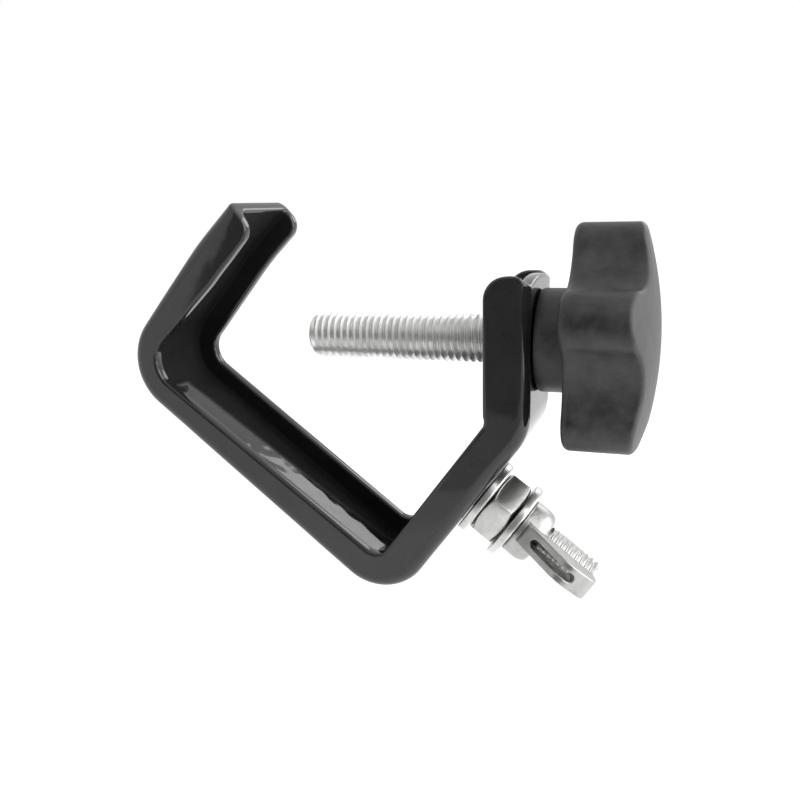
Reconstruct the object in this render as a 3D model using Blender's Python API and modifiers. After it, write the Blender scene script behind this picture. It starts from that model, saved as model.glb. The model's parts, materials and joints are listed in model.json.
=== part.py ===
"""Pipe hook clamp: a pressed channel hook, its clamp screw, and a bolt that carries a fixture yoke.

Metres in the scene, millimetres in this file. X runs along the clamp screw towards its knob, Z is up
and Y is the width of the channel. The origin is the centre of the tube that the hook is made for.
"""

from math import asin, atan2, cos, pi, radians, sin, sqrt, tan

import bmesh
import bpy
from mathutils import Matrix, Vector

MM = 0.001
FIT = 0.3  # clear space between two pieces that touch in the real object

# Channel hook: a U section swept along the outer line of the hook, with its flanges inwards.
CHANNEL_WIDTH = 30.0
WALL = 3.0
BEND_RADIUS = 3.0  # outside, where the web turns into a flange
INNER_RADIUS = 1.2
RIM_RADIUS = 1.2
UPRIGHT_FACE_X = 66.2
TIP = (-7.2, 38.0)
ARM_KNEE = (-19.53, 27.81)  # the arm leans inwards a little above here
LEFT_CORNER = (-47.25, -4.63)
BOTTOM_CORNER = (30.43, -65.0)
UPPER_BEND = (UPRIGHT_FACE_X, -16.8)
KNEE_RADIUS = 100.0
LEFT_RADIUS = 15.0
BOTTOM_RADIUS = 13.6
UPPER_RADIUS = 14.0
OUTER_LINE_AT_TIP = (-8.72, 38.3)
TIP_HEIGHT = 9.1  # flange heights, measured from the outer face of the web
KNEE_HEIGHT = 9.6
LEFT_HEIGHT = 8.15
BEAM_END_HEIGHT = 9.1
LOWER_HEIGHT = 10.3
UPRIGHT_HEIGHT = 10.8
TIP_CUT_ANGLE = radians(-48.8)
TIP_CORNER_RADIUS = 4.0
FLANGE_TOP = 20.5
FLANGE_TOP_RADIUS = 5.5
WEB_TOP = 20.3
WEB_TOP_DROP = 2.6  # the end of the web is an arch, lower at both bends
FLANGE_END = 2.3  # how far inside the outer face the flange tops give way to the arch

# Clamp screw, its nut and its knob.
SCREW_Z = 4.0
SCREW_RADIUS = 6.0
SCREW_TIP_X = 6.9
SCREW_CHAMFER = 1.2
SCREW_HEAD_FLATS = 18.0
SCREW_HEAD_HEIGHT = 7.5
SCREW_HEAD_START = 11.0  # past the face of the upright
SCREW_NUT_FLATS = 19.0
SCREW_NUT_HEIGHT = 7.0
KNOB_COLLAR_RADIUS = 12.5
KNOB_COLLAR_CHAMFER = 0.6
KNOB_BACK = 7.9  # past the face of the upright
KNOB_FRONT = 27.9
KNOB_RADIUS = 27.7
KNOB_LOBES = 5
KNOB_LOBE_RADIUS = 6.8
KNOB_VALLEY_RADIUS = 13.0
KNOB_DOME_RADIUS = 88.0
KNOB_EDGE = 1.8
KNOB_TURN = radians(-2.0)

# Mounting bolt and what is threaded on it, stacked outwards from the face of the lower beam.
BOLT_BELOW_BEND = 24.4
BOLT_RADIUS = 5.0
BOLT_END = 34.4
BOLT_CHAMFER = 1.0
BOLT_HEAD_FLATS = 17.0
BOLT_HEAD_HEIGHT = 6.4
WASHER_RADIUS = 10.5
WASHER_HEIGHT = 2.0
WASHER_CHAMFER = 0.25
HEX_NUT_FLATS = 17.0
HEX_NUT_HEIGHT = 6.9
WING_HUB_RADIUS = 7.6
WING_HUB_NECK = 5.9
WING_HUB_STRAIGHT = 3.6
WING_HUB_HEIGHT = 6.8
WING_HUB_CHAMFER = 0.4
WING_HEIGHT = 21.8
WING_THICKNESS = 5.6
WING_WALL = 1.7
WING_INNER_REACH = 5.7  # from the axis of the bolt
WING_ROOT = (8.2, 1.5)  # outer edge of the wing: reach and height where it starts
WING_SHOULDER = (18.0, 13.5)
WING_TOP_REACH = (14.5, 6.9)
WING_WAIST_HEIGHT = 9.8
WING_CORNER_RADII = (1.0, 5.0, 3.5, 2.2, 8.0)
WING_SLOT_START = 4.2
WING_SLOT_END = 16.8
WING_TURN = radians(15.0)

ROUND_STEPS = 64
SHANK_STEPS = 48
CORNER_STEPS = 10
SHARP_ANGLE = radians(35)
CHAMFER_ANGLE = radians(30)
CHAMFER_START = 0.96  # share of the distance across flats where a hexagon's chamfer starts
CLEAR = 10.0  # how far a cutter reaches past what it cuts
OVERLAP = 1.0  # how far two joined shapes run into each other
SLIVER = 0.2  # how far two cutters run into each other

ALONG_ARM = (Vector(OUTER_LINE_AT_TIP) - Vector(ARM_KNEE)).normalized()  # towards the open end
UPRIGHT = Matrix.Rotation(pi / 2, 4, "X")  # stands a plate up, its thickness across the channel


def unit(angle):
    return Vector((cos(angle), sin(angle)))


def arc(centre, radius, start, end, steps):
    """Points of an arc, both ends included."""
    return [Vector(centre) + radius * unit(start + (end - start) * i / steps) for i in range(steps + 1)]


def rounded(points, radii, steps):
    """An open line with its inner corners turned into arcs."""
    points = [Vector(p) for p in points]
    line = [points[0]]
    for before, corner, after, radius in zip(points, points[1:], points[2:], radii):
        to_before, to_after = (before - corner).normalized(), (after - corner).normalized()
        half = to_before.angle(to_after) / 2
        centre = corner + (to_before + to_after).normalized() * radius / sin(half)
        start = corner + to_before * radius / tan(half) - centre
        end = corner + to_after * radius / tan(half) - centre
        first = atan2(start.y, start.x)
        turn = (atan2(end.y, end.x) - first + pi) % (2 * pi) - pi
        line += arc(centre, radius, first, first + turn, steps)
    return line + [points[-1]]


def axis_frame(origin, direction):
    """Local Z along a direction in the XZ plane, local Y towards -Y, local X the rest."""
    along = Vector((direction[0], 0, direction[1])).normalized()
    across = Vector((0, -1, 0))
    rows = Matrix((across.cross(along), across, along)).transposed()
    return Matrix.Translation(Vector(origin) * MM) @ rows.to_4x4()


def material(name, colour, metallic, roughness):
    made = bpy.data.materials.new(name)
    made.use_nodes = True
    shader = made.node_tree.nodes["Principled BSDF"]
    shader.inputs["Base Color"].default_value = (*colour, 1)
    shader.inputs["Metallic"].default_value = metallic
    shader.inputs["Roughness"].default_value = roughness
    made.diffuse_color = (*colour, 1)
    return made


def place(made, look, frame):
    """Puts an object in its collection and frame. Without a look it is a cutter."""
    made.matrix_world = frame
    if look:
        made.data.materials.append(look)
        pieces.objects.link(made)
    else:
        cutters.objects.link(made)
        made.hide_render = True
        made.display_type = "WIRE"
    return made


def from_bmesh(name, shape, look, frame):
    """An object from a bmesh in millimetres."""
    bmesh.ops.recalc_face_normals(shape, faces=shape.faces)
    bmesh.ops.scale(shape, vec=(MM, MM, MM), verts=shape.verts)
    mesh = bpy.data.meshes.new(name)
    shape.to_mesh(mesh)
    shape.free()
    mesh.shade_smooth()
    mesh.set_sharp_from_angle(angle=SHARP_ANGLE)
    return place(bpy.data.objects.new(name, mesh), look, frame)


def turned(name, profile, look, frame, steps=ROUND_STEPS):
    """A solid of revolution about local Z, from (radius, height) pairs listed from the bottom up."""
    outer = [(0, profile[0][1]), *profile, (0, profile[-1][1])]
    points = [(radius * MM, 0, height * MM) for radius, height in reversed(outer)]
    mesh = bpy.data.meshes.new(name)
    mesh.from_pydata(points, [(i, i + 1) for i in range(len(points) - 1)], [])
    made = place(bpy.data.objects.new(name, mesh), look, frame)
    screw = made.modifiers.new("turn", "SCREW")
    screw.steps = screw.render_steps = steps
    screw.use_merge_vertices = True
    screw.merge_threshold = 1e-6
    return made


def plate(name, outline, start, end, look, frame):
    """A flat outline in local XY with a thickness from start to end along local Z."""
    curve = bpy.data.curves.new(name, "CURVE")
    curve.dimensions = "2D"
    curve.fill_mode = "BOTH"
    curve.extrude = (end - start) / 2 * MM
    line = curve.splines.new("POLY")
    line.points.add(len(outline) - 1)
    for point, (x, y) in zip(line.points, outline):
        point.co = (x * MM, y * MM, 0, 1)
    line.use_cyclic_u = True
    flat = bpy.data.objects.new(name + "_curve", curve)
    bpy.context.scene.collection.objects.link(flat)
    graph = bpy.context.evaluated_depsgraph_get()
    mesh = bpy.data.meshes.new_from_object(flat.evaluated_get(graph))
    bpy.data.objects.remove(flat, do_unlink=True)
    shape = bmesh.new()
    shape.from_mesh(mesh)
    bmesh.ops.remove_doubles(shape, verts=shape.verts, dist=1e-7)
    bmesh.ops.recalc_face_normals(shape, faces=shape.faces)
    shape.to_mesh(mesh)
    shape.free()
    mesh.name = name
    mesh.transform(Matrix.Translation((0, 0, (start + end) / 2 * MM)))
    mesh.shade_smooth()
    mesh.set_sharp_from_angle(angle=SHARP_ANGLE)
    return place(bpy.data.objects.new(name, mesh), look, frame)


def loft(rings, end=None):
    """A skin over rings of equal length, closed by flat caps or by a point after the last ring."""
    shape = bmesh.new()
    made = [[shape.verts.new(point) for point in ring] for ring in rings]
    for lower, upper in zip(made, made[1:]):
        for i in range(len(lower)):
            j = (i + 1) % len(lower)
            shape.faces.new((lower[i], lower[j], upper[j], upper[i]))
    shape.faces.new(made[0])
    if end is None:
        shape.faces.new(made[-1])
    else:
        tip = shape.verts.new(end)
        for i, corner in enumerate(made[-1]):
            shape.faces.new((corner, made[-1][(i + 1) % len(made[-1])], tip))
    return shape


def hexagon(name, flats, start, end, look, frame, turn=0.0):
    """A hexagonal prism along local Z, with a corner on local X before its turn."""
    shape = bmesh.new()
    corner = flats / sqrt(3)
    bmesh.ops.create_cone(
        shape, cap_ends=True, segments=6, radius1=corner, radius2=corner, depth=end - start
    )
    middle = Matrix.Translation((0, 0, (start + end) / 2))
    # The cone starts with a corner on local Y, half a side away from local X.
    bmesh.ops.transform(shape, matrix=middle @ Matrix.Rotation(turn + pi / 6, 4, "Z"), verts=shape.verts)
    return from_bmesh(name, shape, look, frame)


def combine(target, tool, operation):
    step = target.modifiers.new(tool.name, "BOOLEAN")
    step.object = tool
    step.operation = operation
    step.solver = "EXACT"


def hex_blank(name, flats, start, end, look, frame, chamfers, turn=0.0):
    """A hexagonal prism whose corners are chamfered at the (lower, upper) ends that are asked for."""
    blank = hexagon(name, flats, start, end, look, frame, turn)
    flat = flats / 2 * CHAMFER_START
    wide = flats / sqrt(3) + OVERLAP
    fall = (wide - flat) * tan(CHAMFER_ANGLE)
    lower = [(flat, start), (wide, start + fall)]
    upper = [(wide, end - fall), (flat, end)]
    profile = lower if chamfers[0] else [(wide, start - OVERLAP)]
    profile = profile + (upper if chamfers[1] else [(wide, end + OVERLAP)])
    combine(blank, turned(name + "_chamfer", profile, None, frame), "INTERSECT")
    return blank


def bore(target, radius, start, end, frame, name="bore"):
    tool = turned(f"{target.name}_{name}", [(radius, start), (radius, end)], None, frame)
    combine(target, tool, "DIFFERENCE")


def cut_corner(start, corner, end, radius):
    """A cutter's edge round a corner. It leaves the arc early, to cross the rim and not run along it."""
    line = rounded([start, corner, end], [radius], CORNER_STEPS)[:-3]
    return line + [line[-1] + (line[-1] - line[-2]).normalized() * CLEAR]


def section(height):
    """The U section as (y, height above the outer face of the web), one closed loop."""
    half = CHANNEL_WIDTH / 2
    side = arc((half - BEND_RADIUS, BEND_RADIUS), BEND_RADIUS, -pi / 2, 0, 6)
    side += arc((half - RIM_RADIUS, height - RIM_RADIUS), RIM_RADIUS, 0, pi / 2, 4)
    side += arc((half - WALL + RIM_RADIUS, height - RIM_RADIUS), RIM_RADIUS, pi / 2, pi, 4)
    inner = (half - WALL - INNER_RADIUS, WALL + INNER_RADIUS)
    side += arc(inner, INNER_RADIUS, 0, -pi / 2, 4)
    return side + [Vector((-y, h)) for y, h in reversed(side)]


def swept_channel():
    """The U section along the outer line of the hook, with its flanges growing from arm to upright."""
    path = [OUTER_LINE_AT_TIP, ARM_KNEE, LEFT_CORNER, BOTTOM_CORNER, UPPER_BEND, (UPRIGHT_FACE_X, WEB_TOP)]
    path[0] = Vector(path[0]) + ALONG_ARM * CLEAR
    path[-1] = Vector(path[-1]) + Vector((0, CLEAR))
    line = rounded(path, (KNEE_RADIUS, LEFT_RADIUS, BOTTOM_RADIUS, UPPER_RADIUS), CORNER_STEPS)
    corners = ((KNEE_HEIGHT,) * 2, (LEFT_HEIGHT,) * 2, (BEAM_END_HEIGHT, LOWER_HEIGHT))
    corners += ((LOWER_HEIGHT, UPRIGHT_HEIGHT),)
    heights = [TIP_HEIGHT]
    for before, after in corners:
        heights += [before + (after - before) * i / CORNER_STEPS for i in range(CORNER_STEPS + 1)]
    heights += [UPRIGHT_HEIGHT]
    rings = []
    for i, (point, height) in enumerate(zip(line, heights)):
        before, after = line[max(i - 1, 0)], line[min(i + 1, len(line) - 1)]
        along = ((point - before).normalized() + (after - point).normalized()).normalized()
        inwards = Vector((-along.y, along.x))
        places = [(point + inwards * h, y) for y, h in section(height)]
        rings.append([(at.x, y, at.y) for at, y in places])
    return from_bmesh("hook_channel", loft(rings), coating, Matrix())


def cut_tip(hook):
    """The open end is cut nearly square to the arm, and the corners at its rim are rounded."""
    inwards = Vector((ALONG_ARM.y, -ALONG_ARM.x))
    cut = unit(TIP_CUT_ANGLE)
    down = cut / cut.dot(inwards)  # along the cut, for one millimetre of flange height
    edge = Vector(TIP) - down * (Vector(TIP) - Vector(OUTER_LINE_AT_TIP)).dot(inwards)
    corner = edge + down * TIP_HEIGHT
    outline = cut_corner(edge - cut * CLEAR, corner, corner - ALONG_ARM * CLEAR, TIP_CORNER_RADIUS)
    outline += [corner + (ALONG_ARM + inwards) * 2 * CLEAR, edge + ALONG_ARM * 3 * CLEAR - inwards * CLEAR]
    combine(hook, plate("tip_end", outline, -CHANNEL_WIDTH, CHANNEL_WIDTH, None, UPRIGHT), "DIFFERENCE")


def cut_upper_end(hook):
    """Rounded flange tops, and an arch across the web."""
    rim_x = UPRIGHT_FACE_X - UPRIGHT_HEIGHT
    bend_x = UPRIGHT_FACE_X - FLANGE_END
    past_top = WEB_TOP + 2 * CLEAR
    outline = cut_corner((bend_x, FLANGE_TOP), (rim_x, FLANGE_TOP), (rim_x, 0), FLANGE_TOP_RADIUS)
    outline += [(rim_x - CLEAR, past_top), (bend_x, past_top)]
    tool = plate("flange_top", outline, -CHANNEL_WIDTH, CHANNEL_WIDTH, None, UPRIGHT)
    combine(hook, tool, "DIFFERENCE")
    half = CHANNEL_WIDTH / 2
    wide = half + OVERLAP
    radius = (half**2 + WEB_TOP_DROP**2) / (2 * WEB_TOP_DROP)
    reach = asin(wide / radius)
    arch = arc((0, WEB_TOP - radius), radius, pi / 2 + reach, pi / 2 - reach, 16)
    arch += [Vector((wide, past_top)), Vector((-wide, past_top))]
    facing = Matrix.Rotation(pi / 2, 4, "Z") @ UPRIGHT
    start, end = bend_x - SLIVER, UPRIGHT_FACE_X + CLEAR
    combine(hook, plate("web_top", arch, start, end, None, facing), "DIFFERENCE")


def channel_hook():
    """The hook as one swept section, with its ends shaped and its two holes cut."""
    hook = swept_channel()
    cut_tip(hook)
    cut_upper_end(hook)
    bore(hook, SCREW_RADIUS + FIT, -WALL - OVERLAP, OVERLAP, screw_frame, "screw_hole")
    bore(hook, BOLT_RADIUS + FIT, -WALL - OVERLAP, OVERLAP, bolt_frame, "bolt_hole")


def knob_outline(inset):
    """The lobed outline of the knob, moved inwards by an inset."""
    lobe_at = KNOB_RADIUS - KNOB_LOBE_RADIUS
    half = pi / KNOB_LOBES
    reach = KNOB_LOBE_RADIUS + KNOB_VALLEY_RADIUS
    valley_at = lobe_at * cos(half) + sqrt(reach**2 - (lobe_at * sin(half)) ** 2)
    touch = valley_at * unit(half) - Vector((lobe_at, 0))
    spread = atan2(touch.y, touch.x)
    outline = []
    for i in range(KNOB_LOBES):
        turn = KNOB_TURN + 2 * half * i
        lobe = arc(lobe_at * unit(turn), KNOB_LOBE_RADIUS - inset, turn - spread, turn + spread, 14)
        facing = turn + spread + pi
        closing = 2 * (pi - spread) + 2 * half - 2 * pi
        valley = arc(valley_at * unit(turn + half), KNOB_VALLEY_RADIUS + inset, facing, facing + closing, 8)
        outline += lobe[:-1] + valley[:-1]
    return outline


def knob():
    """Collar, lobed body with rounded edges and a domed front, as one moulding with a pocket inside."""
    outer = knob_outline(0)

    def dome(radius):
        return KNOB_FRONT - KNOB_DOME_RADIUS + sqrt(KNOB_DOME_RADIUS**2 - radius**2)

    def collar(radius, height):
        return [(*(radius * p.normalized()), height) for p in outer]

    rings = [collar(KNOB_COLLAR_RADIUS - KNOB_COLLAR_CHAMFER, FIT)]
    rings += [collar(KNOB_COLLAR_RADIUS, FIT + KNOB_COLLAR_CHAMFER)]
    rings += [collar(KNOB_COLLAR_RADIUS, KNOB_BACK)]
    steps = 4
    for i in range(steps + 1):
        turn = pi / 2 * i / steps
        inset, rise = KNOB_EDGE * (1 - sin(turn)), KNOB_EDGE * (1 - cos(turn))
        rings.append([(*p, KNOB_BACK + rise) for p in knob_outline(inset)])
    for i in range(steps + 1):
        turn = pi / 2 * i / steps
        inset, fall = KNOB_EDGE * (1 - cos(turn)), KNOB_EDGE * (1 - sin(turn))
        rings.append([(*p, dome(p.length) - fall) for p in knob_outline(inset)])
    last = knob_outline(KNOB_EDGE)
    for share in (0.8, 0.55, 0.25):
        rings.append([(*(p * share), dome(p.length * share)) for p in last])
    made = from_bmesh("knob_body", loft(rings, (0, 0, KNOB_FRONT)), plastic, screw_frame)
    bore(made, SCREW_RADIUS + FIT, -OVERLAP, SCREW_HEAD_START, screw_frame)
    start, end = SCREW_HEAD_START - FIT, SCREW_HEAD_START + SCREW_HEAD_HEIGHT + FIT
    bore(made, SCREW_HEAD_FLATS / sqrt(3) + FIT, start, end, screw_frame, "pocket")


def clamp_screw():
    tip = SCREW_TIP_X - UPRIGHT_FACE_X
    root = SCREW_RADIUS - SCREW_CHAMFER
    profile = [(root, tip), (SCREW_RADIUS, tip + SCREW_CHAMFER), (SCREW_RADIUS, SCREW_HEAD_START + OVERLAP)]
    made = turned("clamp_screw", profile, zinc, screw_frame, SHANK_STEPS)
    end = SCREW_HEAD_START + SCREW_HEAD_HEIGHT
    head = hexagon("screw_head", SCREW_HEAD_FLATS, SCREW_HEAD_START, end, None, screw_frame)
    combine(made, head, "UNION")


def mounting_bolt():
    """Its head sits inside the channel and its shank runs out through the web."""
    under_head = -WALL - FIT
    profile = [(BOLT_RADIUS, under_head - OVERLAP), (BOLT_RADIUS, BOLT_END - BOLT_CHAMFER)]
    profile += [(BOLT_RADIUS - BOLT_CHAMFER, BOLT_END)]
    top = under_head - BOLT_HEAD_HEIGHT
    made = hex_blank("mounting_bolt", BOLT_HEAD_FLATS, top, under_head, zinc, bolt_frame, (True, False))
    combine(made, turned("bolt_shank", profile, None, bolt_frame, SHANK_STEPS), "UNION")


def washer(name, start):
    end = start + WASHER_HEIGHT
    profile = [(WASHER_RADIUS - WASHER_CHAMFER, start), (WASHER_RADIUS, start + WASHER_CHAMFER)]
    profile += [(WASHER_RADIUS, end - WASHER_CHAMFER), (WASHER_RADIUS - WASHER_CHAMFER, end)]
    made = turned(name, profile, zinc, bolt_frame)
    bore(made, BOLT_RADIUS + FIT, start - OVERLAP, end + OVERLAP, bolt_frame)


def wing_nut(start):
    """Hub with two hollow wings, each a strip folded over at its upper end."""
    frame = bolt_frame @ Matrix.Translation((0, 0, start * MM)) @ Matrix.Rotation(-WING_TURN, 4, "Z")
    crown = WING_HUB_HEIGHT - WING_HUB_STRAIGHT
    profile = [(WING_HUB_RADIUS - WING_HUB_CHAMFER, 0), (WING_HUB_RADIUS, WING_HUB_CHAMFER)]
    steps = 6
    for i in range(steps + 1):
        turn = pi / 2 * i / steps
        radius = WING_HUB_NECK + (WING_HUB_RADIUS - WING_HUB_NECK) * cos(turn)
        profile.append((radius, WING_HUB_STRAIGHT + crown * sin(turn)))
    nut = turned("wing_nut", profile, zinc, frame)
    outline = [(WING_INNER_REACH, WING_ROOT[1]), WING_ROOT, WING_SHOULDER]
    outline += [(reach, WING_HEIGHT) for reach in WING_TOP_REACH]
    outline += [(WING_INNER_REACH, WING_WAIST_HEIGHT), (WING_INNER_REACH, WING_ROOT[1] - SLIVER)]
    outline = rounded(outline, WING_CORNER_RADII, steps)[:-1]
    half = WING_THICKNESS / 2
    slot_half = half - WING_WALL
    slot = arc((0, WING_SLOT_END - slot_half), slot_half, 0, pi, 8)
    slot += arc((0, WING_SLOT_START + slot_half), slot_half, pi, 2 * pi, 8)
    for side, name in ((1, "near"), (-1, "far")):
        # Both plates have local Y up the bolt: the wing's local X points outwards, the slot's across it.
        wing_plane = frame @ Matrix(((0, 0, 1, 0), (side, 0, 0, 0), (0, 1, 0, 0), (0, 0, 0, 1)))
        combine(nut, plate(f"{name}_wing", outline, -half, half, None, wing_plane), "UNION")
        slot_plane = frame @ Matrix(((1, 0, 0, 0), (0, 0, side, 0), (0, 1, 0, 0), (0, 0, 0, 1)))
        start, end = WING_INNER_REACH - OVERLAP, WING_SHOULDER[0] + OVERLAP
        combine(nut, plate(f"{name}_slot", slot, start, end, None, slot_plane), "DIFFERENCE")
    bore(nut, BOLT_RADIUS + FIT, -OVERLAP, WING_HEIGHT + OVERLAP, frame)


for old in list(bpy.data.objects):
    bpy.data.objects.remove(old, do_unlink=True)
pieces = bpy.data.collections.new("pipe_hook_clamp")
cutters = bpy.data.collections.new("cutters")
for collection in (pieces, cutters):
    bpy.context.scene.collection.children.link(collection)
cutters.hide_render = True

coating = material("glossy_black_coating", (0.012, 0.012, 0.013), 0.0, 0.18)
plastic = material("matte_black_plastic", (0.045, 0.045, 0.047), 0.0, 0.55)
zinc = material("bright_zinc", (0.78, 0.78, 0.79), 1.0, 0.28)

screw_frame = axis_frame((UPRIGHT_FACE_X, 0, SCREW_Z), (1, 0))
beam = Vector(UPPER_BEND) - Vector(BOTTOM_CORNER)
along_beam = beam.normalized()
outwards = (along_beam.y, -along_beam.x)
bolt_at = Vector(UPPER_BEND) - along_beam * BOLT_BELOW_BEND
bolt_frame = axis_frame((bolt_at.x, 0, bolt_at.y), outwards)

channel_hook()

nut_end = -WALL - FIT
nut_start = nut_end - SCREW_NUT_HEIGHT
clamp_nut = hex_blank("clamp_nut", SCREW_NUT_FLATS, nut_start, nut_end, zinc, screw_frame, (True, True))
bore(clamp_nut, SCREW_RADIUS + FIT, nut_start - OVERLAP, nut_end + OVERLAP, screw_frame)
clamp_screw()
knob()

mounting_bolt()
height = FIT
washer("bar_washer", height)
height += WASHER_HEIGHT + FIT
nut_top = height + HEX_NUT_HEIGHT
hex_nut = hex_blank("hex_nut", HEX_NUT_FLATS, height, nut_top, zinc, bolt_frame, (True, True), pi / 6)
bore(hex_nut, BOLT_RADIUS + FIT, height - OVERLAP, nut_top + OVERLAP, bolt_frame)
height = nut_top + FIT
washer("yoke_washer", height)
height += WASHER_HEIGHT + FIT
wing_nut(height)
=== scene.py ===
"""Looks of the pipe hook clamp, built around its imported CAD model.

The scene is in metres and this file's sizes are in millimetres. X runs along the clamp screw towards its
knob, Z is up, Y is the width of the channel, and the origin is the centre of the clamped tube. Each piece
here stands for one CAD node, in the same place and at the same size, with the finer shape that the CAD
leaves out: the thick coating, the threads, and the rounded edges of stamped and cast metal.
"""

import json
from math import atan2, cos, pi, radians, sin, sqrt, tan

import bmesh
import bpy
from mathutils import Matrix, Vector, noise


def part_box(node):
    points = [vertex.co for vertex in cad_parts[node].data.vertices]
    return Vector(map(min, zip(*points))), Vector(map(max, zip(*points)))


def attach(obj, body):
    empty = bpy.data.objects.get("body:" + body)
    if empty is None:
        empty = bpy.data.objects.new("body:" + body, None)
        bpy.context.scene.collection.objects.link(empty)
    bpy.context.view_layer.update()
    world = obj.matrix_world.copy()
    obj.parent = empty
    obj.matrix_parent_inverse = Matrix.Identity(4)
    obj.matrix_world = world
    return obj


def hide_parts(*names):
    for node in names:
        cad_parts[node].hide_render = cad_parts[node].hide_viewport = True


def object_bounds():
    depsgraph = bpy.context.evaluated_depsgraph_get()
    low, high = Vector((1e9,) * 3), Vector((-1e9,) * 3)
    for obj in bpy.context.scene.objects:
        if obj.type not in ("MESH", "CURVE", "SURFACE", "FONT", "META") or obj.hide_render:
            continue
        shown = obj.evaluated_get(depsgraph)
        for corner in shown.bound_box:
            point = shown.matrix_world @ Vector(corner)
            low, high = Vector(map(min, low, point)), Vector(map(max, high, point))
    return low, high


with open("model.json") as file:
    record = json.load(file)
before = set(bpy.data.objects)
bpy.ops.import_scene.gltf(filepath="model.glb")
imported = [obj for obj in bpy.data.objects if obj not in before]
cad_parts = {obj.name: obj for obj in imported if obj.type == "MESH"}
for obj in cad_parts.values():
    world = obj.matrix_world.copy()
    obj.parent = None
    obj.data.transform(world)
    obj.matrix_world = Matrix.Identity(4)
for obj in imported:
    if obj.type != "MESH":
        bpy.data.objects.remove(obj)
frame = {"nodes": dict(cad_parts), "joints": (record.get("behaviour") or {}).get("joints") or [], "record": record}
cad_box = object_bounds()

MM = 0.001

# Channel hook, the CAD's own driving sizes: heights are from the outer face of the web.
HALF_WIDTH = 15.0
WALL = 3.0
OUTER_BEND = 3.0
NEAR_FILLET = 3.2
FAR_FILLET = 1.0
TIP_LINE = (-8.72, 38.3)
ARM_KNEE = (-19.53, 27.81)
LEFT_CORNER = (-47.25, -4.63)
BOTTOM_CORNER = (30.43, -65.0)
UPPER_BEND_Z = -16.8
OUTER_RADII = (100.0, 15.0, 13.6, 14.0)
# Flange heights at the tip, before and after each of the four corners, and at the top.
NEAR_HEIGHTS = (9.4, 9.8, 9.8, 7.4, 7.35, 9.2, 9.9, 9.9, 10.8, 10.8)
FAR_HEIGHTS = (9.1, 9.1, 9.1, 9.3, 8.1, 8.9, 10.0, 10.0, 10.8, 10.8)
TIP_CUT_ANGLE = radians(-48.8)
TIP_CORNER_RADIUS = 4.0
FLANGE_TOP = 20.5
FLANGE_TOP_RADIUS = 5.5
WEB_TOP = 19.9
WEB_TOP_DROP = 2.6
FAR_TOP_DROP = 0.8  # how much lower the far flange and the web end than the near flange
WEB_DISH = 0.9  # how far the inside of the beam's web rises at both sides, near the bottom corner
END_BLEND = 14.0  # length over which the channel's mesh adapts to the shape of an end
EDGE_ROUNDING = 1.0
EDGE_SQUARENESS = 0.55  # 1 makes a half-round edge, less a squarer one
SCREW_HOLE_RADIUS = 6.3
BOLT_HOLE_RADIUS = 5.3

# Coating: it is matt inside the arm, and on the far side of the beam's inside, where its colour is also darkened
# as painted shade.
MATT_AND_SHADE_X = (-34.0, 22.0)  # X at the two ends of the beam
MATT_AND_SHADE_FROM_Y = (0.0, 7.0)  # where the matt side with painted shade starts there
MATT_AND_SHADE_FADE = 3.0
LONG_RUN = (0.05, 11.0)  # depth and size of the coating's unevenness
SHORT_RUN_SIZE = 3.2
SHORT_RUN_DEPTHS = (0.006, 0.055)  # outside and inside

# Steps of the channel's mesh.
GRID = 0.9
CORNER_ARC_STEPS = 20
RIM_STEPS = 6
FLANGE_STEPS = 4
BEND_STEPS = 8
EDGE_STEPS = 12

# Threads, hexagons and washers.
SCREW_RADIUS, SCREW_PITCH = 6.0, 1.75
BOLT_RADIUS, BOLT_PITCH = 5.0, 1.5
SCREW_IN_KNOB = 11.0  # how far the thread goes on past the hook's face, out of sight in the knob
THREAD_DEPTH = 0.6134  # share of the pitch, for a 60-degree thread
THREAD_STEPS = 48
NUT_CLEARANCE = 0.1
CLAMP_NUT_FLATS = 19.0
HEX_NUT_FLATS = 17.0
HEX_NUT_TURN = radians(3)
BOLT_HEAD_HEIGHT = 6.4
HEXAGON_CORNER_RADIUS = 0.35
HEXAGON_EDGE = 0.22
CHAMFER_START = 0.96  # share of the distance across flats where a hexagon's chamfer starts
CHAMFER_SLOPE = tan(radians(30))
WASHER_BORE = 5.3

# Knob.
KNOB_LOBES = 5
KNOB_RADIUS = 27.7
KNOB_LOBE_RADIUS = 6.8
KNOB_VALLEY_RADIUS = 13.0
KNOB_DOME_RADIUS = 88.0
KNOB_EDGE = 1.8
KNOB_FRONT_EDGE = 1.1
KNOB_EDGE_STEPS = 8
KNOB_GAP = 0.3  # between the hook's face and the collar
KNOB_BORE = 6.3
KNOB_COLLAR_RADIUS = 12.5
KNOB_COLLAR_LENGTH = 7.6
KNOB_TURN = radians(-2.0)

# Wing nut.
WING_HUB_RADIUS = 7.6
WING_HUB_NECK = 5.9
WING_HUB_STRAIGHT = 3.6
WING_HUB_HEIGHT = 6.8
WING_THICKNESS = 5.6
WING_WALL = 1.7
WING_INNER_REACH = 5.7
WING_ROOT = (8.2, 1.5)
WING_SHOULDER = (18.0, 13.5)
WING_TOP_REACH = (14.5, 6.9)
WING_WAIST_HEIGHT = 9.8
WING_CORNER_RADII = (1.0, 5.0, 3.5, 2.2, 8.0)
WING_SLOT = (4.2, 16.8)
WING_BORE = 5.15
WING_TURN = radians(15.0)
WING_VOXEL = 0.22

# Camera.
CAMERA_TARGET = (29.8, 0.0, -12.9)
CAMERA_DISTANCE = 221.9
CAMERA_AZIMUTH = radians(19.71)
CAMERA_ELEVATION = radians(12.97)
CAMERA_ROLL = radians(-1.40)
CAMERA_LENS = 38.41

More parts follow.
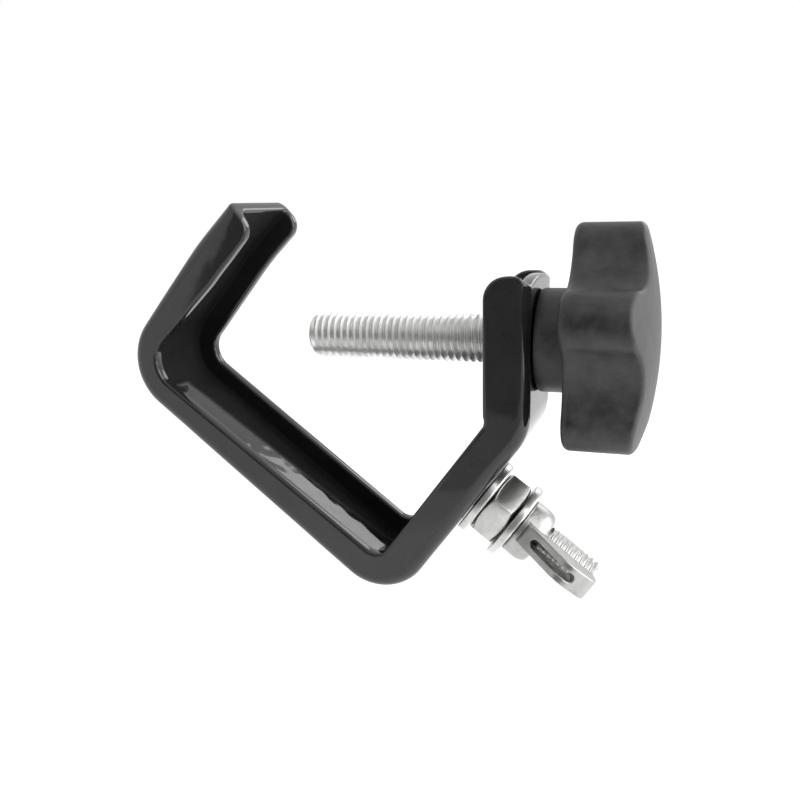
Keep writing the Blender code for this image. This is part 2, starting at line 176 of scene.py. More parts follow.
# Studio, in metres. The cards stand behind the camera, and the coating reflects their outlines (x, z).
FLOOR_DROP = 0.25
FLOOR_HALF = 6
CARD_Y = -0.62
DARK_CARD = ((-0.43, -0.08), (-0.15, -0.17), (0.63, -0.17), (0.63, 0.5), (-0.054, 0.5))
PALE_CARD = ((-0.15, -0.17), (-0.15, -0.25), (0.63, -0.25), (0.63, -0.17))


# ---------------------------------------------------------------- lines and frames


def unit(angle):
    return Vector((cos(angle), sin(angle)))


def smooth(share):
    share = min(1.0, max(0.0, share))
    return share * share * (3 - 2 * share)


def arc(centre, radius, start, end, steps):
    """Points of an arc, both ends included."""
    return [Vector(centre) + radius * unit(start + (end - start) * i / steps) for i in range(steps + 1)]


def rounded(points, radii, steps):
    """An open line with its inner corners turned into arcs."""
    points = [Vector(p) for p in points]
    line = [points[0]]
    for before, corner, after, radius in zip(points, points[1:], points[2:], radii):
        to_before, to_after = (before - corner).normalized(), (after - corner).normalized()
        half = to_before.angle(to_after) / 2
        centre = corner + (to_before + to_after).normalized() * radius / sin(half)
        start = corner + to_before * radius / tan(half) - centre
        end = corner + to_after * radius / tan(half) - centre
        first = atan2(start.y, start.x)
        turn = (atan2(end.y, end.x) - first + pi) % (2 * pi) - pi
        line += arc(centre, radius, first, first + turn, steps)
    return line + [points[-1]]


def axis_frame(origin, direction):
    """Local Z along a direction in the XZ plane, local Y towards -Y, local X the rest."""
    along = Vector(direction).normalized()
    across = Vector((0, -1, 0))
    rows = Matrix((across.cross(along), across, along)).transposed()
    return Matrix.Translation(origin) @ rows.to_4x4()


def node_span(node, axis):
    """Where a CAD node starts and ends along a frame's local Z, in millimetres."""
    towards = axis.inverted()
    heights = [(towards @ (vertex.co / MM)).z for vertex in frame["nodes"][node].data.vertices]
    return min(heights), max(heights)


joints = {joint["name"]: joint for joint in frame["joints"]}
screw_axis = axis_frame(Vector(joints["knob_spin"]["pos_m"]) / MM, joints["knob_spin"]["axis"])
bolt_axis = axis_frame(Vector(joints["wing_spin"]["pos_m"]) / MM, joints["wing_spin"]["axis"])
FACE_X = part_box("hook_channel")[1].x / MM
ALONG_ARM = (Vector(TIP_LINE) - Vector(ARM_KNEE)).normalized()


# ---------------------------------------------------------------- materials


def new_material(name):
    made = bpy.data.materials.new(name)
    made.use_nodes = True
    return made, made.node_tree.nodes, made.node_tree.links, made.node_tree.nodes["Principled BSDF"]


def noise_node(nodes, links, scale, detail, roughness=0.5, stretch=None):
    """Noise in the object's own metres, with a scale in features to a metre."""
    place = nodes.new("ShaderNodeTexCoord").outputs["Object"]
    if stretch:
        mapping = nodes.new("ShaderNodeMapping")
        mapping.inputs["Scale"].default_value = stretch
        links.new(place, mapping.inputs["Vector"])
        place = mapping.outputs["Vector"]
    made = nodes.new("ShaderNodeTexNoise")
    made.inputs["Scale"].default_value = scale
    made.inputs["Detail"].default_value = detail
    made.inputs["Roughness"].default_value = roughness
    links.new(place, made.inputs["Vector"])
    return made.outputs["Fac"]


def ramp_node(nodes, links, factor, stops):
    """A colour ramp from (position, grey or colour) stops."""
    made = nodes.new("ShaderNodeValToRGB")
    elements = made.color_ramp.elements
    while len(elements) < len(stops):
        elements.new(0.5)
    for element, (position, value) in zip(elements, stops):
        element.position = position
        element.color = (*value, 1) if isinstance(value, tuple) else (value, value, value, 1)
    links.new(factor, made.inputs["Fac"])
    return made.outputs["Color"]


def range_node(nodes, links, factor, low, high):
    made = nodes.new("ShaderNodeMapRange")
    made.inputs["From Min"].default_value = 0.3
    made.inputs["From Max"].default_value = 0.7
    made.inputs["To Min"].default_value = low
    made.inputs["To Max"].default_value = high
    links.new(factor, made.inputs["Value"])
    return made.outputs["Result"]


def bump_node(nodes, links, height, depth, strength, under=None):
    """A bump whose depth is in millimetres."""
    made = nodes.new("ShaderNodeBump")
    made.inputs["Strength"].default_value = strength
    made.inputs["Distance"].default_value = depth * MM
    links.new(height, made.inputs["Height"])
    if under:
        links.new(under, made.inputs["Normal"])
    return made.outputs["Normal"]


def coating_material():
    """Thick black dip coating: glossy with a faint orange peel, and matt where the mesh says dull, with painted
    shade darkening its colour there.
    """
    made, nodes, links, shader = new_material("glossy_black_coating")
    patches = noise_node(nodes, links, 90, 4)
    dull = nodes.new("ShaderNodeAttribute")
    dull.attribute_name = "dull"

    def faded(glossy, dulled):
        """A value that goes from one to the other where the mesh's dull mask is set."""
        mix = nodes.new("ShaderNodeMapRange")
        mix.inputs["To Min"].default_value, mix.inputs["To Max"].default_value = glossy, dulled
        links.new(dull.outputs["Fac"], mix.inputs["Value"])
        return mix

    roughness = faded(0.05, 0.55)
    links.new(range_node(nodes, links, patches, 0.04, 0.07), roughness.inputs["To Min"])
    links.new(roughness.outputs["Result"], shader.inputs["Roughness"])
    links.new(faded(1.5, 1.1).outputs["Result"], shader.inputs["IOR"])
    # Painted shade: where the dull mask is set, inside the channel, the base colour is darkened to 0.7 of itself.
    painted_shade = nodes.new("ShaderNodeHueSaturation")
    links.new(faded(1.0, 0.7).outputs["Result"], painted_shade.inputs["Value"])
    links.new(ramp_node(nodes, links, patches, ((0.3, 0.012), (0.7, 0.018))), painted_shade.inputs["Color"])
    links.new(painted_shade.outputs["Color"], shader.inputs["Base Color"])
    peel = bump_node(nodes, links, noise_node(nodes, links, 300, 1), 0.04, 0.12)
    links.new(peel, shader.inputs["Normal"])
    return made


def plastic_material():
    """Matte moulded plastic with a fine grain, cloudy patches and light rub marks."""
    made, nodes, links, shader = new_material("matte_black_plastic")
    shader.inputs["IOR"].default_value = 1.5
    clouds = noise_node(nodes, links, 150, 7, 0.68)
    links.new(ramp_node(nodes, links, clouds, ((0.36, 0.004), (0.66, 0.034))), shader.inputs["Base Color"])
    links.new(range_node(nodes, links, clouds, 0.40, 0.60), shader.inputs["Roughness"])
    grain = bump_node(nodes, links, noise_node(nodes, links, 2600, 3), 0.03, 0.35)
    dents = bump_node(nodes, links, noise_node(nodes, links, 230, 5, 0.65), 0.25, 0.5, grain)
    links.new(dents, shader.inputs["Normal"])
    return made


def zinc_material(name, tone, roughness, relief, relief_scale):
    """Bright zinc plating over turned, rolled, stamped or cast metal."""
    made, nodes, links, shader = new_material(name)
    shader.inputs["Metallic"].default_value = 1.0
    stains = noise_node(nodes, links, 240, 5, 0.6)
    dull = tuple(channel * 0.82 for channel in tone)
    links.new(ramp_node(nodes, links, stains, ((0.3, dull), (0.62, tone))), shader.inputs["Base Color"])
    polish = range_node(nodes, links, stains, roughness * 1.35, roughness * 0.8)
    links.new(polish, shader.inputs["Roughness"])
    rough = noise_node(nodes, links, relief_scale, 4, 0.6)
    links.new(bump_node(nodes, links, rough, relief, 0.5), shader.inputs["Normal"])
    return made


coating = coating_material()
plastic = plastic_material()
bright_zinc = zinc_material("bright_zinc", (0.57, 0.57, 0.56), 0.30, 0.05, 900)
rolled_zinc = zinc_material("rolled_zinc", (0.66, 0.66, 0.65), 0.38, 0.06, 900)
cast_zinc = zinc_material("cast_zinc", (0.41, 0.41, 0.40), 0.36, 0.14, 700)


# ---------------------------------------------------------------- pieces

record = frame["record"]
bodies = {node: body for body, nodes in record["behaviour"]["bodies"].items() for node in nodes}


def piece(name, node, shape, look, axis=Matrix(), sharp=40):
    """A finished piece that stands for a CAD node, from a bmesh in millimetres in an axis's frame."""
    bmesh.ops.remove_doubles(shape, verts=shape.verts, dist=1e-4)
    bmesh.ops.recalc_face_normals(shape, faces=shape.faces)
    mesh = bpy.data.meshes.new(name)
    shape.to_mesh(mesh)
    shape.free()
    mesh.transform(Matrix.Scale(MM, 4) @ axis)
    mesh.shade_smooth()
    mesh.set_sharp_from_angle(angle=radians(sharp))
    mesh.materials.append(look)
    made = bpy.data.objects.new(name, mesh)
    bpy.context.scene.collection.objects.link(made)
    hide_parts(node)
    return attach(made, bodies[node])


def evaluated(shape, modifiers):
    """The bmesh after a list of modifiers, each a (type, settings) pair."""
    mesh = bpy.data.meshes.new("working")
    shape.to_mesh(mesh)
    shape.free()
    working = bpy.data.objects.new("working", mesh)
    bpy.context.scene.collection.objects.link(working)
    for kind, settings in modifiers:
        step = working.modifiers.new(kind.lower(), kind)
        for key, value in settings.items():
            setattr(step, key, value)
    graph = bpy.context.evaluated_depsgraph_get()
    result = bmesh.new()
    result.from_object(working, graph)
    bpy.data.objects.remove(working, do_unlink=True)
    return result


def tool_object(name, shape):
    """A closed shape that a Boolean uses, in the scene until it is removed."""
    mesh = bpy.data.meshes.new(name)
    bmesh.ops.recalc_face_normals(shape, faces=shape.faces)
    shape.to_mesh(mesh)
    shape.free()
    made = bpy.data.objects.new(name, mesh)
    bpy.context.scene.collection.objects.link(made)
    return made


def combined(shape, tools, operation):
    """The bmesh after Booleans with several bmeshes."""
    for tool_shape in tools:
        tool = tool_object("tool", tool_shape)
        step = {"operation": operation, "object": tool, "solver": "EXACT"}
        shape = evaluated(shape, [("BOOLEAN", step)])
        bpy.data.objects.remove(tool, do_unlink=True)
    return shape


def loft(rings, cap_first=True, cap_last=True):
    """A skin over closed rings of equal length."""
    shape = bmesh.new()
    made = [[shape.verts.new(point) for point in ring] for ring in rings]
    for lower, upper in zip(made, made[1:]):
        for i in range(len(lower)):
            j = (i + 1) % len(lower)
            shape.faces.new((lower[i], lower[j], upper[j], upper[i]))
    if cap_first:
        shape.faces.new(made[0])
    if cap_last:
        shape.faces.new(made[-1])
    return shape


def turned(profile, steps=96, hollow=False):
    """A solid of revolution about local Z. A hollow one has a closed profile away from the axis."""
    rings = []
    for radius, height in profile:
        rings.append([(*(radius * unit(2 * pi * i / steps)), height) for i in range(steps)])
    if hollow:
        rings.append(rings[0])
    return loft(rings, not hollow, not hollow)


# ---------------------------------------------------------------- channel hook


def hook_stations():
    """The web's outer line from the tip to the top: (point, inward direction, near height, far height)."""
    corners = [TIP_LINE, ARM_KNEE, LEFT_CORNER, BOTTOM_CORNER, (FACE_X, UPPER_BEND_Z), (FACE_X, WEB_TOP)]
    steps = CORNER_ARC_STEPS
    line = rounded(corners, OUTER_RADII, steps)
    known = [0] + [1 + i + corner * (steps + 1) for corner in range(4) for i in (0, steps)] + [len(line) - 1]
    places = [(line[0], NEAR_HEIGHTS[0], FAR_HEIGHTS[0])]
    sides = (NEAR_HEIGHTS, FAR_HEIGHTS)
    for leg, (first, last) in enumerate(zip(known, known[1:])):
        for i in range(first, last):
            cuts = max(1, round((line[i + 1] - line[i]).length / GRID))
            for j in range(1, cuts + 1):
                share = (i - first + j / cuts) / (last - first)
                heights = [row[leg] + (row[leg + 1] - row[leg]) * share for row in sides]
                places.append((line[i].lerp(line[i + 1], j / cuts), *heights))
    stations = []
    for i, (point, near, far) in enumerate(places):
        before, after = places[max(i - 1, 0)][0], places[min(i + 1, len(places) - 1)][0]
        along = (after - before).normalized()
        stations.append((point, Vector((-along.y, along.x)), near, far))
    return stations


def section_stations(height, fillet):
    """Half of the U section, from the rim to the middle of the web.

    Each is (share, outer point, inner point): points are (y, height above the web's outer face), and the
    share is 1 on the flange and falls to 0 round the bend."""
    half, top = HALF_WIDTH, height - EDGE_ROUNDING
    inner_y, fillet_y = half - WALL, half - WALL - fillet
    inner_base = WALL + fillet
    corner = TIP_CORNER_RADIUS - EDGE_ROUNDING
    heights = [top - corner * (1 - sin(pi / 2 * (1 - i / RIM_STEPS))) for i in range(RIM_STEPS + 1)]

    def on_flange(share):
        outer = (half, top - share * (top - OUTER_BEND))
        return 1.0, outer, (inner_y, top - share * (top - inner_base))

    found = [on_flange((top - h) / (top - OUTER_BEND)) for h in heights[:-1]]
    start = (top - heights[-1]) / (top - OUTER_BEND)
    found += [on_flange(start + (1 - start) * i / FLANGE_STEPS) for i in range(FLANGE_STEPS)]
    for i in range(BEND_STEPS + 1):
        turn = pi / 2 * i / BEND_STEPS
        outer = (half - OUTER_BEND + OUTER_BEND * cos(turn), OUTER_BEND - OUTER_BEND * sin(turn))
        inner = (fillet_y + fillet * cos(turn), inner_base - fillet * sin(turn))
        found.append((smooth(1 - i / BEND_STEPS), outer, inner))
    cuts = round((half - OUTER_BEND) / GRID)
    for i in range(1, cuts + 1):
        share = 1 - i / cuts
        found.append((0.0, ((half - OUTER_BEND) * share, 0.0), (fillet_y * share, WALL)))
    return found


def corner_setback(height, top, radius):
    """How far a rounded corner steps back at a height below the rim."""
    into = min(radius, max(0.0, height - (top - radius)))
    return radius - sqrt(radius**2 - into**2)


def tip_end(height, top):
    """How far the tip's edge lies along the arm from its outer corner."""
    cut = unit(TIP_CUT_ANGLE)
    slope = cut.dot(ALONG_ARM) / cut.dot(Vector((ALONG_ARM.y, -ALONG_ARM.x)))
    return slope * height - corner_setback(height, top, TIP_CORNER_RADIUS - EDGE_ROUNDING) - EDGE_ROUNDING


def upper_end(share, y, height, top):
    """How far the upper end lies above the top of the web's arch."""
    drop = FAR_TOP_DROP if y > 0 else 0.0
    flange = FLANGE_TOP - drop - WEB_TOP - corner_setback(height, top, FLANGE_TOP_RADIUS - EDGE_ROUNDING)
    arch_radius = (HALF_WIDTH**2 + WEB_TOP_DROP**2) / (2 * WEB_TOP_DROP)
    arch = sqrt(arch_radius**2 - y**2) - arch_radius
    return arch + (flange - arch) * share - EDGE_ROUNDING


def coating_relief(point, inside):
    """The coating's unevenness, in millimetres: long runs outside, shorter and stronger ones inside."""
    depth, size = LONG_RUN
    long_run = noise.noise(Vector(point) / size)
    short_run = noise.noise(Vector(point) / SHORT_RUN_SIZE + Vector((7, 3, 5)))
    return depth * long_run + SHORT_RUN_DEPTHS[inside] * short_run


def matt_and_painted_shade(point):
    """How matt the coating is at a point inside the channel, and how much painted shade darkens its colour there,
    from 0 to 1.
    """
    along = (point.x - MATT_AND_SHADE_X[0]) / (MATT_AND_SHADE_X[1] - MATT_AND_SHADE_X[0])
    if point.z > LEFT_CORNER[1] or along < 0:
        return 1.0
    start = MATT_AND_SHADE_FROM_Y[0] + (MATT_AND_SHADE_FROM_Y[1] - MATT_AND_SHADE_FROM_Y[0]) * along
    return smooth((point.y - start) / MATT_AND_SHADE_FADE + 0.5)


def channel_grids():
    """Points of the outer and the inner face: each row is a section, and the rows go from tip to top."""
    stations = hook_stations()
    tip, end = stations[0][0], stations[-1][0]
    up = Vector((0, 1))
    grids = ([], [])
    for outer, inwards, near_top, far_top in stations:
        from_tip, from_top = (outer - tip).length, (outer - end).length
        both = [(far_top, *place) for place in section_stations(far_top, FAR_FILLET)]
        near = section_stations(near_top, NEAR_FILLET)[:-1]
        both += [(near_top, s, (-a[0], a[1]), (-b[0], b[1])) for s, a, b in reversed(near)]
        rows = ([], [])
        dish = WEB_DISH * smooth(outer.x / BOTTOM_CORNER[0]) * (outer.x < BOTTOM_CORNER[0])
        for rim, share, *faces in both:
            for row, (y, height) in zip(rows, faces):
                if row is rows[1]:
                    height += dish * (1 - share) * (y / HALF_WIDTH) ** 2
                at = outer + inwards * height
                top = rim - EDGE_ROUNDING
                if from_tip < END_BLEND:
                    at = at + ALONG_ARM * tip_end(height, top) * (1 - from_tip / END_BLEND)
                if from_top < END_BLEND:
                    at = at + up * upper_end(share, y, height, top) * (1 - from_top / END_BLEND)
                row.append(Vector((at.x, y, at.y)))
        for grid, row in zip(grids, rows):
            grid.append(row)
    return grids


def round_edge(shape, points, verts):
    """Joins the outer and inner faces all the way round by a rounded edge."""
    rows, columns = len(points[0]) - 1, len(points[0][0]) - 1
    walk = [(i, 0) for i in range(rows)] + [(rows, k) for k in range(columns)]
    walk += [(i, columns) for i in range(rows, 0, -1)] + [(0, k) for k in range(columns, 0, -1)]
    middles = [(points[0][i][k] + points[1][i][k]) / 2 for i, k in walk]
    strips = []
    for place, (i, k) in enumerate(walk):
        across = points[0][i][k] - points[1][i][k]
        along = middles[(place + 1) % len(middles)] - middles[place - 1]
        outwards = along.cross(across).normalized()
        strip = [verts[0][i][k]]
        for step in range(1, EDGE_STEPS):
            turn = pi * step / EDGE_STEPS
            over = abs(cos(turn)) ** EDGE_SQUARENESS * (1 if step < EDGE_STEPS / 2 else -1)
            out = EDGE_ROUNDING * sin(turn) ** EDGE_SQUARENESS
            at = middles[place] + across / 2 * over + outwards * out
            strip.append(shape.verts.new(at))
        strips.append(strip + [verts[1][i][k]])
    for place, strip in enumerate(strips):
        after = strips[(place + 1) % len(strips)]
        for step in range(EDGE_STEPS):
            shape.faces.new((strip[step], after[step], after[step + 1], strip[step + 1]))


def hook_channel():
    """The bent channel with its uneven coating, and the holes for the screw and the bolt."""
    points = channel_grids()
    shape = bmesh.new()
    dull = shape.verts.layers.float.new("dull")
    verts = []
    for grid in points:
        made = [[shape.verts.new(point) for point in row] for row in grid]
        for lower, upper in zip(made, made[1:]):
            for k in range(len(lower) - 1):
                shape.faces.new((lower[k], lower[k + 1], upper[k + 1], upper[k]))
        verts.append(made)
    round_edge(shape, points, verts)
    bmesh.ops.recalc_face_normals(shape, faces=shape.faces)
    shape.normal_update()
    inner = {vert for row in verts[1] for vert in row}
    for vert in shape.verts:
        vert.co += vert.normal * coating_relief(vert.co, vert in inner)
        # The dull mask makes the inside matt and darkens its colour as painted shade.
        if vert in inner and vert.co.x < BOTTOM_CORNER[0]:
            vert[dull] = matt_and_painted_shade(vert.co)
    screw_hole = turned([(SCREW_HOLE_RADIUS, -WALL - 2), (SCREW_HOLE_RADIUS, 2)], 64)
    screw_hole.transform(Matrix.Translation((FACE_X - screw_axis.translation.x, 0, 0)) @ screw_axis)
    bolt_face = node_span("bar_washer", bolt_axis)[0]
    bolt_hole = turned([(BOLT_HOLE_RADIUS, bolt_face - WALL - 2), (BOLT_HOLE_RADIUS, bolt_face + 1)], 64)
    bolt_hole.transform(bolt_axis)
    return combined(shape, [screw_hole, bolt_hole], "DIFFERENCE")


piece("channel_coated", "hook_channel", hook_channel(), coating)


# ---------------------------------------------------------------- threads, nuts and washers


def threaded_rod(radius, pitch, start, end, chamfers):
    """A rod along local Z with a right-hand thread. The mesh follows the helix, so its crests are lines."""
    depth = THREAD_DEPTH * pitch
    worn = 0.06 * pitch
    profile = ((0.0, worn), (0.035, 0.0), (0.09, 0.0), (0.125, worn), (0.44, depth * 0.93))
    profile += ((0.50, depth), (0.62, depth), (0.685, depth * 0.93))
    count, steps = len(profile), THREAD_STEPS
    rows = int((end - start) / pitch + 3) * count
    shape = bmesh.new()
    grid = []
    for j in range(steps):
        column = []
        for k in range(rows):
            share, cut = profile[k % count]
            height = start + pitch * (k // count + share - 1 + j / steps)
            height = min(end, max(start, height))
            lowest = min(radius - chamfers[0] + height - start, radius - chamfers[1] + end - height)
            column.append(shape.verts.new((*(min(radius - cut, lowest) * unit(2 * pi * j / steps)), height)))
        grid.append(column)
    for j in range(steps):
        after, shift = (grid[j + 1], 0) if j + 1 < steps else (grid[0], count)
        for k in range(rows - 1 - shift):
            shape.faces.new((grid[j][k], after[k + shift], after[k + shift + 1], grid[j][k + 1]))
    bmesh.ops.remove_doubles(shape, verts=shape.verts, dist=1e-4)
    bmesh.ops.dissolve_degenerate(shape, edges=shape.edges, dist=1e-4)
    bmesh.ops.delete(shape, geom=[v for v in shape.verts if not v.link_faces], context="VERTS")
    bmesh.ops.holes_fill(shape, edges=[edge for edge in shape.edges if edge.is_boundary], sides=0)
    return shape


def hexagon_outline(flats, corner_radius, turn):
    """A closed hexagon with slightly rounded corners, one of them on local X before its turn."""
    corners = [flats / sqrt(3) * unit(turn + pi / 3 * i) for i in range(6)]
    outline = []
    for i in range(6):
        before, corner, after = corners[i - 1], corners[i], corners[(i + 1) % 6]
        outline += rounded([(before + corner) / 2, corner, (corner + after) / 2], [corner_radius], 4)[1:-1]
        start, end = outline[-1], corner.lerp(after, 0.5)
        outline += [start.lerp(end, share) for share in (0.25, 0.5, 0.75, 1.0)]
        outline += [end + (end - start) * share for share in (0.25, 0.5, 0.75)]
    return outline


def hexagon(flats, start, end, chamfers, turn, bore=None):
    """A hexagonal nut or head. Its corners are chamfered at the ends that are asked for, at 30 degrees."""
    outline = hexagon_outline(flats, HEXAGON_CORNER_RADIUS, turn)
    flat = flats / 2 * CHAMFER_START
    edge = HEXAGON_EDGE

    def ring(shrink, end_height, inwards, chamfered, lowered):
        points = []
        for p in outline:
            q = p * (1 - shrink / p.length)
            fall = max(0.0, q.length - flat) * CHAMFER_SLOPE if chamfered else 0.0
            points.append((*q, end_height + inwards * (fall + lowered)))
        return points

    def flat_ring(radius, height):
        return [(*(p.normalized() * radius), height) for p in outline]

    rings = []
    for height, inwards, chamfered in ((start, 1, chamfers[0]), (end, -1, chamfers[1])):
        side = []
        if bore:
            side += [flat_ring(bore, height + inwards * 1.0), flat_ring(bore + 0.8, height + inwards * 0.1)]
            side.append(flat_ring(bore + 0.95, height))
        else:
            side += [flat_ring(flat * 0.3, height), flat_ring(flat * 0.7, height)]
        side += [flat_ring(flat - 0.25, height), flat_ring(flat, height + inwards * 0.03)]
        side.append(ring(edge, height, inwards, chamfered, 0.0))
        side.append(ring(edge * 0.3, height, inwards, chamfered, edge * 0.3))
        side.append(ring(0.0, height, inwards, chamfered, edge))
        rings += side if inwards == 1 else side[::-1]
    if bore:
        rings.append(rings[0])
    return loft(rings, not bore, not bore)


def washer(node):
    """A stamped washer: rolled over at one edge, nearly square at the other."""
    start, end = node_span(node, bolt_axis)
    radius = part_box(node)[1].y / MM
    bore = WASHER_BORE
    outside = [(radius - 2, start), (radius, start), (radius, end), (radius - 2, end)]
    inside = [(bore + 2, end), (bore, end), (bore, start), (bore + 2, start)]
    profile = rounded(outside, (0.22, 0.6), 5) + rounded(inside, (0.55, 0.2), 5)
    return turned(profile, hollow=True)


face_height = FACE_X - screw_axis.translation.x
screw_start = node_span("clamp_screw", screw_axis)[0]
piece(
    "clamp_screw_threaded", "clamp_screw",
    threaded_rod(SCREW_RADIUS, SCREW_PITCH, screw_start, face_height + SCREW_IN_KNOB, (1.35, 1.2)),
    rolled_zinc, screw_axis,
)
nut_start, nut_end = node_span("clamp_nut", screw_axis)
piece(
    "clamp_nut_chamfered", "clamp_nut",
    hexagon(CLAMP_NUT_FLATS, nut_start, nut_end, (True, True), 0.0, SCREW_RADIUS + NUT_CLEARANCE),
    bright_zinc, screw_axis, 30,
)
for washer_node in ("bar_washer", "yoke_washer"):
    piece(washer_node + "_stamped", washer_node, washer(washer_node), bright_zinc, bolt_axis)
nut_start, nut_end = node_span("hex_nut", bolt_axis)
piece(
    "hex_nut_chamfered", "hex_nut",
    hexagon(HEX_NUT_FLATS, nut_start, nut_end, (True, True), HEX_NUT_TURN, BOLT_RADIUS + NUT_CLEARANCE),
    bright_zinc, bolt_axis, 30,
)


def mounting_bolt():
    """A hexagon bolt: its head is inside the channel."""
    head_start, bolt_end = node_span("mounting_bolt", bolt_axis)
    head_end = head_start + BOLT_HEAD_HEIGHT
    shape = hexagon(HEX_NUT_FLATS, head_start, head_end, (True, False), 0.0)
    thread = threaded_rod(BOLT_RADIUS, BOLT_PITCH, head_end - 1.0, bolt_end, (1.0, 1.0))
    return combined(shape, [thread], "UNION")


piece("mounting_bolt_threaded", "mounting_bolt", mounting_bolt(), bright_zinc, bolt_axis)


# ---------------------------------------------------------------- knob


def knob_outline(inset):
    """The lobed outline of the knob, moved inwards by an inset."""
    lobe_at = KNOB_RADIUS - KNOB_LOBE_RADIUS
    half = pi / KNOB_LOBES
    reach = KNOB_LOBE_RADIUS + KNOB_VALLEY_RADIUS
    valley_at = lobe_at * cos(half) + sqrt(reach**2 - (lobe_at * sin(half)) ** 2)
    touch = valley_at * unit(half) - Vector((lobe_at, 0))
    spread = atan2(touch.y, touch.x)
    outline = []
    for i in range(KNOB_LOBES):
        turn = KNOB_TURN + 2 * half * i
        lobe = arc(lobe_at * unit(turn), KNOB_LOBE_RADIUS - inset, turn - spread, turn + spread, 30)
        facing = turn + spread + pi
        closing = 2 * (pi - spread) + 2 * half - 2 * pi
        valley = arc(valley_at * unit(turn + half), KNOB_VALLEY_RADIUS + inset, facing, facing + closing, 16)
        outline += lobe[:-1] + valley[:-1]
    return outline


def knob():
    """Collar, lobed body with rounded edges, and a domed front."""
    back, front = face_height + KNOB_GAP, node_span("knob_body", screw_axis)[1]
    lobes_back = back + KNOB_COLLAR_LENGTH
    outer = knob_outline(0)

    def dome(radius):
        return front - KNOB_DOME_RADIUS + sqrt(KNOB_DOME_RADIUS**2 - radius**2)

    def circle(radius, height):
        return [(*(radius * p.normalized()), height) for p in outer]

    bore, collar = KNOB_BORE, KNOB_COLLAR_RADIUS
    rings = [circle(bore, back + 3), circle(bore, back + 0.4), circle(bore + 0.4, back)]
    rings += [circle(collar - 0.8, back), circle(collar - 0.2, back + 0.2), circle(collar, back + 0.8)]
    rings += [circle(collar, back + 0.8 + i * 1.8) for i in (1, 2, 3)]
    rings += [circle(collar, lobes_back - 0.6), circle(collar + 0.18, lobes_back - 0.18)]
    rings.append(circle(collar + 0.6, lobes_back))
    flat = knob_outline(KNOB_EDGE + 0.5)
    rings.append([(*p.lerp(p.normalized() * collar, 0.5), lobes_back) for p in flat])
    rings.append([(*p, lobes_back) for p in flat])
    steps = KNOB_EDGE_STEPS
    for i in range(steps + 1):
        turn = pi / 2 * i / steps
        inset, rise = KNOB_EDGE * (1 - sin(turn)), KNOB_EDGE * (1 - cos(turn))
        rings.append([(*p, lobes_back + rise) for p in knob_outline(inset)])
    for share in (0.25, 0.5, 0.75):
        lowest = lobes_back + KNOB_EDGE
        rings.append([(*p, lowest + (dome(p.length) - KNOB_FRONT_EDGE - lowest) * share) for p in outer])
    for i in range(steps + 1):
        turn = pi / 2 * i / steps
        inset, fall = KNOB_FRONT_EDGE * (1 - cos(turn)), KNOB_FRONT_EDGE * (1 - sin(turn))
        rings.append([(*p, dome(p.length) - fall) for p in knob_outline(inset)])
    last = knob_outline(KNOB_FRONT_EDGE)
    for share in (0.9, 0.78, 0.65, 0.52, 0.4, 0.28, 0.16, 0.05):
        rings.append([(*(p * share), dome(p.length * share)) for p in last])
    return loft(rings)


piece("knob_moulded", "knob_body", knob(), plastic, screw_axis)


# ---------------------------------------------------------------- wing nut


def plate(outline, start, end, plane):
    """A flat outline with a thickness along local Z of a plane."""
    shape = loft([[(*p, start) for p in outline], [(*p, end) for p in outline]])
    shape.transform(plane)
    bmesh.ops.recalc_face_normals(shape, faces=shape.faces)
    return shape


def wing_nut():
    """A cast hub with two hollow wings, softened as castings are, then bored."""
    height = node_span("wing_nut", bolt_axis)[1]
    crown = WING_HUB_HEIGHT - WING_HUB_STRAIGHT
    profile = [(WING_HUB_RADIUS - 0.4, 0), (WING_HUB_RADIUS, 0.4)]
    for i in range(9):
        turn = pi / 2 * i / 8
        radius = WING_HUB_NECK + (WING_HUB_RADIUS - WING_HUB_NECK) * cos(turn)
        profile.append((radius, WING_HUB_STRAIGHT + crown * sin(turn)))
    hub = turned(profile)
    outline = [(WING_INNER_REACH, WING_ROOT[1]), WING_ROOT, WING_SHOULDER]
    outline += [(reach, height) for reach in WING_TOP_REACH]
    outline += [(WING_INNER_REACH, WING_WAIST_HEIGHT), (WING_INNER_REACH, WING_ROOT[1] - 0.2)]
    outline = rounded(outline, WING_CORNER_RADII, 8)[:-1]
    half = WING_THICKNESS / 2
    slot_half = half - WING_WALL
    slot = arc((0, WING_SLOT[1] - slot_half), slot_half, 0, pi, 8)
    slot += arc((0, WING_SLOT[0] + slot_half), slot_half, pi, 2 * pi, 8)
    wings, slots_cut = [], []
    for side in (1, -1):
        wing_plane = Matrix(((0, 0, 1, 0), (side, 0, 0, 0), (0, 1, 0, 0), (0, 0, 0, 1)))
        slot_plane = Matrix(((1, 0, 0, 0), (0, 0, side, 0), (0, 1, 0, 0), (0, 0, 0, 1)))
        wings.append(plate(outline, -half, half, wing_plane))
        slots_cut.append(plate(slot, WING_INNER_REACH - 1, WING_SHOULDER[0] + 1, slot_plane))
    shape = combined(hub, wings, "UNION")
    shape = combined(shape, slots_cut, "DIFFERENCE")
    remesh = {"mode": "VOXEL", "voxel_size": WING_VOXEL, "use_smooth_shade": True}
    soften = {"factor": 0.5, "iterations": 6}
    shape = evaluated(shape, [("REMESH", remesh), ("SMOOTH", soften)])
    bore = turned([(WING_BORE, -2), (WING_BORE, height + 2)], 64)
    return combined(shape, [bore], "DIFFERENCE")


wing_axis = bolt_axis @ Matrix.Rotation(-WING_TURN, 4, "Z")
piece("wing_nut_cast", "wing_nut", wing_nut(), cast_zinc, wing_axis, 60)


# ---------------------------------------------------------------- studio


def studio_material(name, colour, emission):
    made, _, _, shader = new_material(name)
    shader.inputs["Base Color"].default_value = (*colour, 1)
    shader.inputs["Roughness"].default_value = 0.9
    shader.inputs["Emission Color"].default_value = (1, 1, 1, 1)
    shader.inputs["Emission Strength"].default_value = emission
    return made


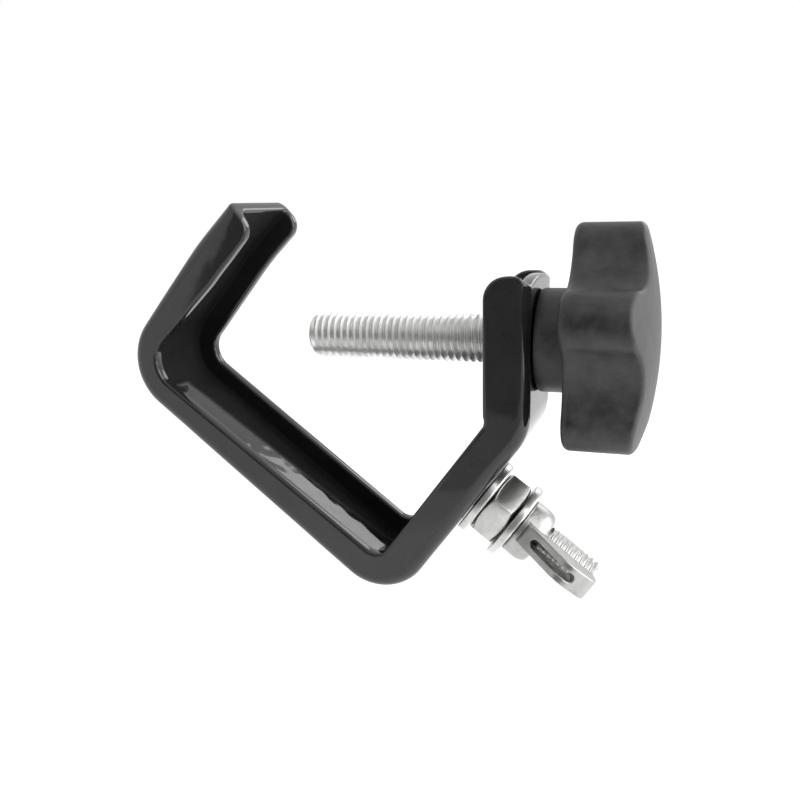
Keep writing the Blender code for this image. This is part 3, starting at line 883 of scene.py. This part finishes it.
def sheet(name, corners, look):
    """A flat piece of the studio, from its corners in metres."""
    mesh = bpy.data.meshes.new(name)
    mesh.from_pydata(corners, [], [list(range(len(corners)))])
    mesh.materials.append(look)
    made = bpy.data.objects.new(name, mesh)
    bpy.context.scene.collection.objects.link(made)
    return made


def area_light(name, place, target, size, power):
    light = bpy.data.lights.new(name, "AREA")
    light.shape = "RECTANGLE"
    light.size, light.size_y = size
    light.energy = power
    made = bpy.data.objects.new(name, light)
    made.location = place
    made.rotation_euler = (Vector(target) - Vector(place)).to_track_quat("-Z", "Y").to_euler()
    bpy.context.scene.collection.objects.link(made)


def studio():
    """A white room with a pale floor, two grey cards behind the camera and two soft lights."""
    low, half = cad_box[0].z - FLOOR_DROP, FLOOR_HALF
    floor_look = studio_material("pale_floor", (0.8, 0.8, 0.8), 0.35)
    corners = ((-half, -half), (half, -half), (half, half), (-half, half))
    sheet("floor", [(x, y, low) for x, y in corners], floor_look)
    world = bpy.data.worlds.new("studio")
    world.use_nodes = True
    background = world.node_tree.nodes["Background"]
    background.inputs["Color"].default_value = (1, 1, 1, 1)
    background.inputs["Strength"].default_value = 1.0
    bpy.context.scene.world = world
    grey_look = studio_material("grey_card", (0.12, 0.12, 0.12), 0.0)
    pale_look = studio_material("pale_card", (0.4, 0.4, 0.4), 0.0)
    for name, outline, look in (("card", DARK_CARD, grey_look), ("card_step", PALE_CARD, pale_look)):
        sheet(name, [(x, CARD_Y, z) for x, z in outline], look).visible_camera = False
    area_light("side_light", (0.85, 0.0, 0.3), (0.05, 0, 0), (1.1, 1.1), 12.5)
    area_light("back_light", (0.27, 0.70, 0.30), (0.02, 0, -0.05), (0.26, 0.3), 0.6)


def camera():
    """A camera low in front of the clamp, turned towards its knob side."""
    data = bpy.data.cameras.new("camera")
    data.lens = CAMERA_LENS
    data.clip_start, data.clip_end = 0.01, 30
    made = bpy.data.objects.new("camera", data)
    a, e = CAMERA_AZIMUTH, CAMERA_ELEVATION
    back = Vector((sin(a) * cos(e), -cos(a) * cos(e), sin(e)))
    turn = back.to_track_quat("Z", "Y").to_matrix().to_4x4() @ Matrix.Rotation(CAMERA_ROLL, 4, "Z")
    place = Vector(CAMERA_TARGET) * MM + back * CAMERA_DISTANCE * MM
    made.matrix_world = Matrix.Translation(place) @ turn
    bpy.context.scene.collection.objects.link(made)
    bpy.context.scene.camera = made


studio()
camera()
bpy.context.scene.view_settings.view_transform = "Standard"
